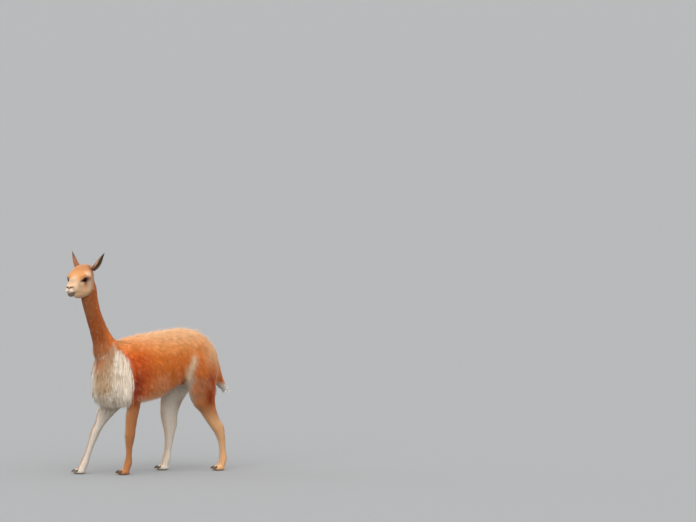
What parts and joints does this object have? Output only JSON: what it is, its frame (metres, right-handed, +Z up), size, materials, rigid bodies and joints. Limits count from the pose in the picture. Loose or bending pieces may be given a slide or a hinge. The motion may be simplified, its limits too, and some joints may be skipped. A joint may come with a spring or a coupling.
{
  "type": "vicuna",
  "caption": "Life-size still model of a vicuna in mid-stride, with a long upright neck, a head turned to its left, pointed ears, a long-haired bib and slender legs.",
  "frame": {"origin": "on the floor under the middle of the animal's box", "axes": "+Z up, -Y the way the body faces, +X to the animal's left"},
  "size_m": [0.3324, 1.1306, 1.3499],
  "materials": {
    "fawn_coat": "soft woolly hair",
    "rust_coat": "short dense hair",
    "bib_coat": "long silky hair",
    "leg_coat": "short flat hair",
    "ear_coat": "short velvety hair",
    "eye": "wet and glossy",
    "nail": "satin horn"
  },
  "bodies": {
    "root": {"head": "fawn_coat", "neck": "rust_coat", "chest": "bib_coat", "trunk": "fawn_coat", "tail": "rust_coat", "ear_left": "ear_coat", "ear_right": "ear_coat", "eye_left": "eye", "eye_right": "eye", "foreleg_left_upper": "leg_coat", "foreleg_left_lower": "leg_coat", "foreleg_left_foot": "leg_coat", "nail_foreleg_left_inner": "nail", "nail_foreleg_left_outer": "nail", "foreleg_right_upper": "leg_coat", "foreleg_right_lower": "leg_coat", "foreleg_right_foot": "leg_coat", "nail_foreleg_right_inner": "nail", "nail_foreleg_right_outer": "nail", "hindleg_left_upper": "leg_coat", "hindleg_left_lower": "leg_coat", "hindleg_left_foot": "leg_coat", "nail_hindleg_left_inner": "nail", "nail_hindleg_left_outer": "nail", "hindleg_right_upper": "leg_coat", "hindleg_right_lower": "leg_coat", "hindleg_right_foot": "leg_coat", "nail_hindleg_right_inner": "nail", "nail_hindleg_right_outer": "nail"}
  },
  "joints": []
}
